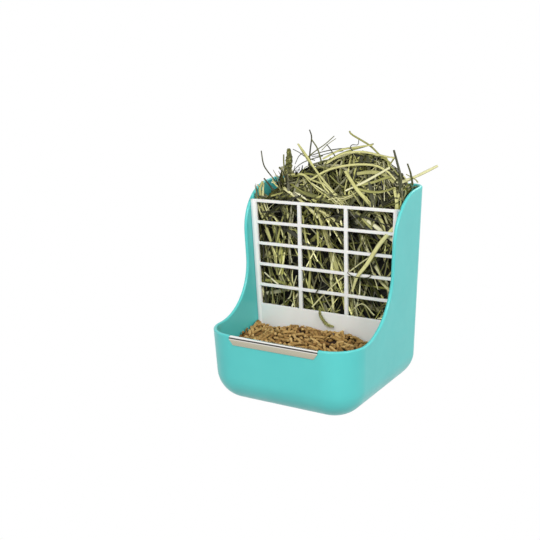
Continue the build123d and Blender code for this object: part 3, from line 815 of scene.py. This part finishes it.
# Stalks that stand out: kind, width in millimetres, tint, shade and stations in millimetres
DISTINCT = (
    # left corner, and beside the seed head
    (BLADE, 1.7, 0.12, 0.6, (-73, 40, 201), (-70, 38, 190), (-65, 36, 184), (-55, 34, 175), (-45, 32, 165)),
    (BLADE, 3.2, 0.62, 1.0, (-66, 30, 175), (-68, 28, 168), (-66, 26, 160), (-62, 24, 148),
     (-55, 23.5, 138)),
    (FLAT_BLADE, 2.4, 0.8, 1.0, (-67, 33, 173), (-66, 30, 166), (-64, 27, 157), (-57, 24, 146)),
    (BLADE, 2.2, 0.15, 0.5, (-71, 40, 176), (-62, 36, 170), (-52, 32, 163), (-44, 28, 158)),
    (STALK, 1.6, 0.4, 0.8, (-47, 36, 199), (-47, 36, 190), (-44, 34, 178)),
    # tall and stray stalks over the crown
    (STALK, 1.5, 0.1, 0.5, (-36, 64, 218.6), (-34, 64, 212), (-31, 56, 202.5), (-25, 42, 190)),
    (STALK, 1.5, 0.28, 0.8, (-24, 46, 212), (-17, 44, 204), (-12, 42, 192)),
    (BLADE, 2.6, 0.66, 1.0, (-31, 34, 209), (-22, 32, 200), (-11, 30, 187), (2, 27, 175), (17, 24, 163),
     (26, 23.6, 154)),
    (BLADE, 2.3, 0.55, 0.9, (4, 64, 218.4), (7, 64, 215), (29, 52, 208), (45, 40, 201), (56, 36, 196)),
    (STALK, 0.8, 0.1, 0.5, (22, 46, 213), (22, 44, 209), (18, 42, 209), (16, 42, 207), (18, 42, 204)),
    (STALK, 1.1, 0.35, 0.7, (-11, 64, 213.5), (-16, 56, 207), (-18, 44, 203), (-25, 40, 197)),
    (STALK, 0.7, 0.5, 0.8, (-2, 50, 213), (-9, 48, 208), (-13, 44, 203)),
    (STALK, 1.1, 0.1, 0.5, (-9, 46, 208), (-5, 44, 205), (1, 42, 199)),
    # arcs and broad blades of the nest
    (FLAT_BLADE, 2.4, 0.72, 1.0, (-10, 40, 196), (6, 42, 204), (22, 44, 207), (35, 46, 209)),
    (FLAT_BLADE, 2.2, 0.75, 1.0, (-3, 34, 193), (12, 36, 202), (29, 38, 204), (44, 38, 202), (59, 36, 200)),
    (BLADE, 3.4, 0.74, 1.0, (-43, 28, 171), (-23, 25, 160), (-7, 23.5, 147)),
    (BLADE, 2.8, 0.74, 1.0, (-16, 28, 179), (0, 30, 188), (20, 32, 193), (41, 32, 194), (55, 30, 190),
     (64, 28, 183)),
    (FLAT_BLADE, 2.8, 0.7, 1.0, (-43, 34, 181), (-27, 32, 183), (-16, 30, 179), (-3, 28, 176)),
    (FLAT_BLADE, 3.0, 0.92, 1.05, (58, 30, 193), (43, 27.5, 184), (30, 26.5, 177), (19, 26, 172)),
    (BLADE, 4.6, 0.66, 1.05, (17, 30, 188), (29, 27, 174), (42, 24.5, 163), (52, 23.5, 152),
     (59, 23.5, 138)),
    # right end
    (STALK, 2.4, 0.08, 0.7, (57, 40, 206), (61, 38, 196), (66, 34, 184), (66, 32, 172)),
    (BLADE, 3.4, 0.68, 1.0, (68, 30, 176), (66, 26, 165), (66, 25, 154)),
    (STALK, 1.8, 0.2, 0.8, (65, 50, 194), (68, 50, 186), (70, 50, 176)),
    (BLADE, 3.4, 0.86, 1.0, (88, 60, 192), (79, 56, 187), (69, 52, 182), (57, 46, 178)),
    (STALK, 1.2, 0.6, 0.9, (64, 50, 185), (71, 52, 181), (73, 54, 178)),
    # behind the windows
    (STALK, 2.6, 0.6, 1.0, (-22, 24, 148), (-19, 24, 126), (-15, 24, 107), (-17, 24, 80)),
    (BLADE, 3.9, 0.84, 1.05, (9, 24, 118), (6, 23.6, 96), (8, 23.6, 62)),
    (STALK, 1.8, 0.95, 0.9, (-63, 23.6, 92), (-48, 23.6, 82)),
    (STALK, 1.3, 0.85, 1.0, (24, 24, 66), (36, 23.5, 75), (47, 24, 66)),
    (BLADE, 3.6, 0.64, 0.95, (-66, 24, 150), (-60, 23.6, 136), (-54, 23.6, 118), (-50, 24, 100)),
    (BLADE, 3.0, 0.66, 0.95, (-40, 24, 128), (-46, 23.6, 112), (-44, 24, 92)),
    # crown
    (STALK, 1, 0.2, 0.7, (-28, 50, 197), (-15, 50, 201), (0, 50, 204), (13, 48, 205)),
    (BLADE, 2.2, 0.5, 0.95, (-6, 46, 195), (4, 46, 200), (15, 46, 204), (26, 46, 207), (36, 46, 210)),
    (FLAT_BLADE, 2.4, 0.85, 1.05, (-10, 42, 192), (2, 44, 197), (13, 45, 201), (22, 45, 203), (35, 44, 202),
     (49, 42, 200), (59, 40, 200)),
    # ring at the right of the nest; its first, very dark stalk is a painted shadow along the ring
    (STALK, 1.2, 0.05, 0.5, (24, 34, 195), (35, 34, 196), (47, 33, 193), (57, 32, 190), (63, 31, 186)),
    (FLAT_BLADE, 3.2, 0.55, 0.95, (30, 27, 177), (43, 27, 180), (54, 28, 184), (61, 29, 186)),
    (FLAT_BLADE, 4.6, 0.62, 0.9, (27, 32, 186), (40, 32, 188), (52, 31, 187), (62, 29, 181)),
    (FLAT_BLADE, 3.2, 0.52, 0.95, (29, 25, 175), (39, 25, 173), (52, 25, 173), (64, 26, 177)),
    # slanting down to the top bar
    (BLADE, 2, 0.8, 1.05, (-5, 30, 177), (4, 28, 171), (14, 25, 163), (24, 23.5, 156)),
    (BLADE, 2, 0.85, 1.05, (-16, 30, 176), (-2, 27, 170), (11, 25, 162), (20, 23.5, 158)),
    (BLADE, 1.6, 0.65, 1, (-26, 34, 182), (-12, 30, 172), (2, 27, 165), (14, 24, 158)),
    (FLAT_BLADE, 4.8, 0.34, 0.85, (-32, 30, 169), (-17, 28, 166), (-4, 26, 164), (8, 24, 160)),
    (FLAT_BLADE, 3, 0.5, 0.95, (-45, 36, 179), (-34, 36, 181), (-23, 36, 183), (-12, 34, 182)),
    (STALK, 2.6, 0.3, 0.7, (-53, 38, 187), (-46, 36, 182), (-40, 33, 176)),
    (FLAT_BLADE, 2.6, 0.45, 0.9, (-49, 38, 184), (-44, 35, 177), (-33, 32, 171), (-20, 28, 166)),
    # across the top bar, and in the left corner
    (BLADE, 3.4, 0.85, 1.1, (-43, 28, 170), (-34, 26, 166), (-25, 24, 162), (-12, 23.5, 153),
     (-6, 23.5, 147)),
    (BLADE, 3.4, 0.75, 1.05, (-9, 24, 156), (1, 23.5, 151), (9, 23.5, 147), (14, 23.5, 140)),
    (FLAT_BLADE, 2.2, 0.8, 1.05, (-78, 40, 170), (-70, 34, 163), (-69, 26, 155), (-63, 24, 141),
     (-58, 24, 131)),
    (FLAT_BLADE, 3.2, 0.6, 0.95, (-66, 24, 153), (-59, 23.5, 147), (-50, 23.5, 144)),
    # low at the right end
    (BLADE, 2.6, 0.1, 0.6, (64, 34, 185), (67, 31, 174), (69, 28, 165)),
    (FLAT_BLADE, 3.6, 0.75, 1, (62, 30, 177), (65, 27, 168), (68, 24, 159)),
    (FLAT_BLADE, 3.6, 0.8, 0.95, (60, 50, 178), (65, 52, 180), (70, 54, 182)),
    (BLADE, 2.4, 0.45, 0.9, (64, 44, 172), (67, 46, 176), (70, 48, 178)),
    (BLADE, 1.8, 0.35, 0.8, (66, 40, 166), (69, 44, 173), (75, 48, 176)),
    # fine threads
    (STALK, 1.4, 0.7, 1, (38, 26, 168), (44, 25, 162), (50, 24, 156)),
    (STALK, 1.6, 0.6, 1, (23, 28, 172), (31, 26, 164), (36, 24, 158)),
    (BLADE, 2, 0.6, 1, (-37, 44, 208), (-30, 42, 200), (-23, 40, 192), (-14, 38, 185)),
    (STALK, 0.9, 0.15, 0.6, (-42, 44, 203), (-35, 44, 200), (-28, 44, 196), (-20, 44, 194)),
    (STALK, 0.8, 0.2, 0.7, (-39, 42, 190), (-36, 44, 197), (-31, 46, 201)),
    (STALK, 0.9, 0.25, 0.7, (-40, 40, 184), (-34, 42, 190), (-26, 44, 194), (-13, 46, 198)),
    (STALK, 0.8, 0.15, 0.6, (-24, 46, 197), (-16, 46, 198), (-5, 46, 201), (7, 46, 203)),
    (STALK, 1.2, 0.35, 0.8, (-8, 36, 182), (-7, 40, 192), (-4, 44, 197)),
    # forks and the rest of the heap
    (STALK, 1.8, 0.05, 0.4, (39, 36, 196), (41, 36, 198), (42, 36, 200)),
    (BLADE, 2, 0.6, 0.95, (46, 42, 201), (51, 40, 198), (55, 36, 190)),
    (BLADE, 1.8, 0.5, 0.95, (58, 42, 201), (55, 40, 196), (54, 36, 191)),
    (BLADE, 1.8, 0.4, 0.85, (0, 34, 183), (8, 31, 178), (17, 28, 174)),
    (BLADE, 2.2, 0.7, 1, (-13, 36, 182), (-4, 31, 173), (3, 28, 168), (12, 24, 158)),
    (BLADE, 2, 0.45, 0.9, (-50, 26, 162), (-36, 26, 164), (-21, 25, 163), (-7, 24, 159)),
    (FLAT_BLADE, 2.4, 0.55, 0.95, (-58, 30, 162), (-51, 30, 164), (-45, 30, 166)),
    (FLAT_BLADE, 2, 0.35, 0.8, (-53, 24, 147), (-45, 24, 154), (-36, 24, 156)),
)

# The same for hay that hangs through the grille in front of its bars
CAUGHT = (
    (BLADE, 5.2, 0.78, 1.1, (66, 25, 146), (60, 17.6, 137), (53, 17.3, 128), (43, 17.3, 112),
     (34, 17.4, 100), (28, 20, 86)),
    (STALK, 0.9, 0.2, 0.6, (22, 23, 104), (26, 17.2, 102), (34, 16.8, 100), (45, 17.0, 101),
     (48, 17.4, 106)),
    (STALK, 1.2, 0.1, 0.5, (2, 22, 88), (-3, 17.0, 85), (-7, 17.2, 80)),
)


def before_heap(point, clear):
    """Slides a point of a stalk along the camera's line of sight: in between the side walls, and
    forward until it lies clear of the heap."""
    step = (Vector(CAMERA_PLACE) - point).normalized() * 0.0005
    for _ in range(80):
        free = point.z > heap_height(point.x, point.y) + clear
        inside = point.z > WALL_TOP + RIM_CLEAR or abs(point.x) < wall_x(point.z) - 0.001
        if not inside and point.x > 0 and point.y < CHAMBER_BACK:
            point = point - step
        elif (free and inside) or point.y + step.y < CHAMBER_FRONT + 0.0008:
            return point
        else:
            point = point + step
    return point


BLADES_FACE = (Vector(CAMERA_PLACE) - Vector((0, 0.03, 0.17))).normalized()
HAY_CREASE = 50                       # degrees from which an edge shades sharp
SEED_HEADS = (                        # piece, body, width in millimetres, tint and stations
    ("hay_seed_head", "hay_load", 6.5, 0.35, (-44, 40, 204), (-44, 40, 195), (-44, 38, 184), (-45, 36, 174)),
    ("hay_hanging_head", "grille", 3.4, 0.55,
     (-5, 22, 68), (-2, 17, 62), (2, 16, 57), (6, 15.8, 54), (12, 15.6, 53)),
)


def distinct_strands(name, table, material, body, facing, clear=None):
    """One piece of placed stalks; facing is the way that blades look, and clear, where it is given,
    how far they are brought before the heap."""
    bundle = Bundle(name)
    for section, width, tint, shade, *stations in table:
        stations = [Vector(s) * MM for s in stations]
        if clear is not None:
            stations = [before_heap(point, clear) for point in stations]
        path = smooth_path(stations, 16)
        count = len(path)
        widths = blade_widths(width * MM, count, 0.30, 0.42, 0.2, 0.9, 0.6)
        if section is STALK:
            widths = [width * MM * (0.75 + 0.25 * i / (count - 1)) for i in range(count)]
        bundle.strand(path, widths, section, tint, 0.95 * shade, -0.2, 0.4, facing)
    return dress_hay(bundle.make(material, HAY_CREASE), body)


def dress_hay(piece, body="hay_load"):
    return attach(piece, body)


def seed_head(rng, name, body, width, tint, stations, material):
    """A timothy head: short bristly florets packed round the end of a stalk."""
    bundle = Bundle(name)
    path = smooth_path([Vector(s) * MM for s in stations], 28)
    width = width * MM
    bundle.strand(path, [0.4 * width] * len(path), STALK, tint, 0.8)
    for i in range(1, len(path) - 1):
        ahead = (path[i + 1] - path[i - 1]).normalized()
        swell = math.sin(math.pi * i / (len(path) - 1)) ** 0.4
        for _ in range(11):
            around = Matrix.Rotation(rng.uniform(0, math.tau), 3, ahead) @ ahead.orthogonal()
            out = (around.normalized() * 0.85 + ahead * rng.uniform(0.4, 1.1)).normalized()
            base = path[i] + around.normalized() * (0.12 * width)
            long = width * swell * rng.uniform(0.36, 0.52)
            widths = [share * width for share in (0.15, 0.30, 0.18, 0.03)]
            points = [base + out * (long * t) for t in (0.0, 0.4, 0.75, 1.1)]
            bundle.strand(points, widths, STALK, tint + rng.uniform(-0.2, 0.25), rng.uniform(0.6, 1.1))
    return dress_hay(bundle.make(material, 60), body)


def hay_core():
    """The middle of the load as a dark sheet of painted shade: the CAD shape, drawn in and made lumpy."""
    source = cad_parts["hay"].data
    copy = bmesh.new()
    copy.from_mesh(source)
    bmesh.ops.remove_doubles(copy, verts=copy.verts, dist=1e-6)
    mesh = bpy.data.meshes.new("hay_core")
    copy.to_mesh(mesh)
    copy.free()
    core = new_object("hay_core", mesh)
    remesh = core.modifiers.new("even", "REMESH")
    remesh.mode = "VOXEL"
    remesh.voxel_size = 0.0035
    graph = bpy.context.evaluated_depsgraph_get()
    even = bpy.data.meshes.new_from_object(core.evaluated_get(graph))
    core.modifiers.clear()
    core.data = even
    count = len(even.vertices)
    places, normals = np.empty(3 * count, np.float32), np.empty(3 * count, np.float32)
    even.vertices.foreach_get("co", places)
    even.vertices.foreach_get("normal", normals)
    for v, place, normal in zip(even.vertices, places.reshape(-1, 3), normals.reshape(-1, 3)):
        place, normal = Vector(place.tolist()), Vector(normal.tolist())
        depth = 0.0085 + 0.0025 * noise.noise(place * 90.0)
        v.co = keep_inside(place - normal * depth, 0.006)
    even.polygons.foreach_set("use_smooth", [True] * len(even.polygons))
    paint(core, painted_shade_fill("hay_painted_shade_fill", HAY_PAINTED_SHADE))
    return dress_hay(core)


def fill_with_hay():
    material = hay_material()
    core = hay_core()
    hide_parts("hay")
    for grow, seed in ((chamber_hay, 11), (heap_hay, 12), (foot_hay, 16), (head_tuft, 15), (side_hay, 13)):
        dress_hay(grow(random.Random(seed)).make(material, HAY_CREASE))
    distinct_strands("hay_long_stalks", DISTINCT, material, "hay_load", BLADES_FACE, 0.004)
    distinct_strands("hay_through_bars", CAUGHT, material, "grille", TO_FRONT)
    rng = random.Random(14)
    for name, body, width, tint, *stations in SEED_HEADS:
        seed_head(rng, name, body, width, tint, stations, material)


# ---- pellets

PELLET_CELL = 0.0005                  # of the height map
PELLET_WIDTHS = (0.0023, 0.0029)
PELLET_LAYER = 0.0065                 # thickness of the loose layer on top of the heap
PELLETS_STAND = 0.0016                # how far a pellet may stand out of the CAD shape
OFF_HEAP = 1.0                        # height that marks cells beside the heap
PELLET_TRIES = 6500
BURIED_PELLETS = 1600


def pellet(rng, bundle, middle, along, length, width):
    """One pressed pellet, a little bent, with broken ends."""
    along = along.normalized()
    side = along.orthogonal().normalized() * (rng.uniform(-0.04, 0.04) * length)
    stops = (-0.5, -0.46, -0.22, 0.02, 0.24, 0.46, 0.5)
    sizes = (0.62, 0.96, 1.0, 0.97, 1.02, 0.95, 0.58)
    points = [middle + along * (t * length) + side * (1 - 4 * t * t) for t in stops]
    widths = [width * s * rng.uniform(0.97, 1.03) for s in sizes]
    tint = min(1.0, max(0.0, rng.gauss(0.5, 0.25)))
    bundle.strand(points, widths, PELLET, tint, 1.0, rng.uniform(0, math.pi))


def heap_map(low, high):
    """Height of the CAD heap over each cell of a map, and -1 beside it."""
    heap = near("pellets")
    surface = np.full([int((b - a) / PELLET_CELL) + 1 for a, b in zip(low.xy, high.xy)], -1.0)
    for i in range(0, surface.shape[0], 2):
        for j in range(0, surface.shape[1], 2):
            above = Vector((low.x + i * PELLET_CELL, low.y + j * PELLET_CELL, 0.2))
            spot, _, _, _ = heap.ray_cast(above, -UP)
            surface[i:i + 2, j:j + 2] = spot.z if spot is not None else -1.0
    return surface


def heaped_pellets(rng):
    """Drops pellets one by one on a height map until the heap is full."""
    bundle = Bundle("feed_pellets")
    low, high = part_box("pellets")
    surface = heap_map(low, high)
    nx, ny = surface.shape
    height = np.where(surface > 0, surface - PELLET_LAYER, OFF_HEAP)
    for _ in range(PELLET_TRIES):
        length = min(0.0125, max(0.005, rng.gauss(0.0085, 0.0018)))
        width = rng.uniform(*PELLET_WIDTHS)
        x = rng.uniform(low.x + 0.002, high.x - 0.002)
        y = rng.uniform(low.y + 0.002, high.y - 0.002)
        turn = rng.uniform(0, math.pi)
        cos, sin = math.cos(turn), math.sin(turn)
        steps = np.linspace(-0.5, 0.5, 9)
        cells_x = np.clip(((x + steps * length * cos - low.x) / PELLET_CELL).astype(int), 0, nx - 1)
        cells_y = np.clip(((y + steps * length * sin - low.y) / PELLET_CELL).astype(int), 0, ny - 1)
        under = height[cells_x, cells_y]
        if under.max() > OFF_HEAP / 2:
            continue
        first, last = under[:4].max(), under[5:].max()
        slope = max(-0.75, min(0.75, (last - first) / (0.62 * length)))
        base = max(u - slope * s * length for u, s in zip(under, steps))
        middle = Vector((x, y, base + width / 2))
        if middle.z + width / 2 > surface[cells_x[4], cells_y[4]] + 0.0012:
            continue
        pellet(rng, bundle, middle, Vector((cos, sin, slope)), length, width)
        for s in np.linspace(-0.5, 0.5, 25):
            top = base + width + slope * s * length
            for t in np.linspace(-0.5, 0.5, 7):
                i = int((x + s * length * cos - t * width * sin - low.x) / PELLET_CELL)
                j = int((y + s * length * sin + t * width * cos - low.y) / PELLET_CELL)
                if 0 <= i < nx and 0 <= j < ny and height[i, j] < OFF_HEAP / 2:
                    height[i, j] = max(height[i, j], top - width * (0.5 - math.sqrt(max(0, 0.25 - t * t))))
    bundle.vertices = [Vector((v.x, min(v.y, high.y + FLUSH), v.z)) for v in bundle.vertices]
    return bundle.settle("pellets", PELLETS_STAND)


def buried_pellets(rng):
    """Pellets that lie against the bowl, which show when the heap is lifted out."""
    bundle = Bundle("feed_pellets_below")
    for spot, normal in surface_spots(rng, "pellets", lambda f: f.normal.z < 0.5, BURIED_PELLETS):
        width = rng.uniform(*PELLET_WIDTHS)
        turn = Matrix.Rotation(rng.uniform(0, math.pi), 3, normal)
        along = turn @ normal.orthogonal().normalized()
        middle = spot - normal * (width * rng.uniform(0.6, 1.4))
        pellet(rng, bundle, middle, along, rng.uniform(0.006, 0.010), width)
    return bundle.settle("pellets", FLUSH)


def fill_with_pellets():
    material = pellet_material()
    # painted shade: a dark copy of the heap, drawn 3 mm in, shows in the gaps between pellets
    core_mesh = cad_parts["pellets"].data.copy()
    core = new_object("feed_pellet_core", core_mesh)
    copy = bmesh.new()
    copy.from_mesh(core_mesh)
    bmesh.ops.remove_doubles(copy, verts=copy.verts, dist=1e-6)
    copy.normal_update()
    for v in copy.verts:
        v.co -= v.normal * 0.0030
    copy.to_mesh(core_mesh)
    copy.free()
    paint(core, painted_shade_fill("pellet_painted_shade_fill", PELLET_PAINTED_SHADE))
    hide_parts("pellets")
    heaped = heaped_pellets(random.Random(21)).make(material, 40)
    buried = buried_pellets(random.Random(22)).make(material, 40)
    for piece in (core, heaped, buried):
        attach(piece, "pellet_load")


# ---- hook springs

SPRING_TURNS = 26
TURN_STEPS, LOOP_STEPS = 24, 36      # stations in a turn and in an end loop
SPRING_WIRE = 0.0009
LOOP_RISE = 0.0017                   # middle of an end loop beyond the last turn
LOOP_END = math.radians(200)         # where the end loop stops, from its start's level


def hook_spring(side, material):
    """The CAD spring as one wire from its pivot bar to the hook."""
    low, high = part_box(side + "_hook_spring")
    radius = (high.x - low.x - SPRING_WIRE) / 2
    x, y = (low.x + high.x) / 2, (low.y + high.y) / 2
    bottom, top = low.z + radius + SPRING_WIRE / 2, high.z - radius - SPRING_WIRE / 2
    lead = math.asin(LOOP_RISE / radius)
    path = []
    for i in range(LOOP_STEPS):
        angle = -LOOP_END + (LOOP_END + lead) * i / LOOP_STEPS
        path.append((x, y + radius * math.cos(angle), bottom + radius * math.sin(angle)))
    first, last = bottom + LOOP_RISE, top - LOOP_RISE
    steps = SPRING_TURNS * TURN_STEPS
    for i in range(steps + 1):
        angle = math.tau * SPRING_TURNS * i / steps
        z = first + (last - first) * i / steps
        path.append((x - radius * math.sin(angle), y + radius * math.cos(angle), z))
    for i in range(1, LOOP_STEPS + 1):
        angle = -lead + (LOOP_END + lead) * i / LOOP_STEPS
        path.append((x, y + radius * math.cos(angle), top + radius * math.sin(angle)))
    bundle = Bundle(side + "_spring")
    bundle.strand(path, [SPRING_WIRE] * len(path), WIRE, 0.5, 1.0)
    spring = bundle.make(material, 60)
    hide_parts(side + "_hook_spring")
    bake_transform(spring)


def hang_springs():
    steel = wire_metal("spring_steel", SPRING_STEEL, 0.22)
    for side in ("left", "right"):
        hook_spring(side, steel)


studio()
dress_cad_parts()
fill_with_hay()
fill_with_pellets()
hang_springs()
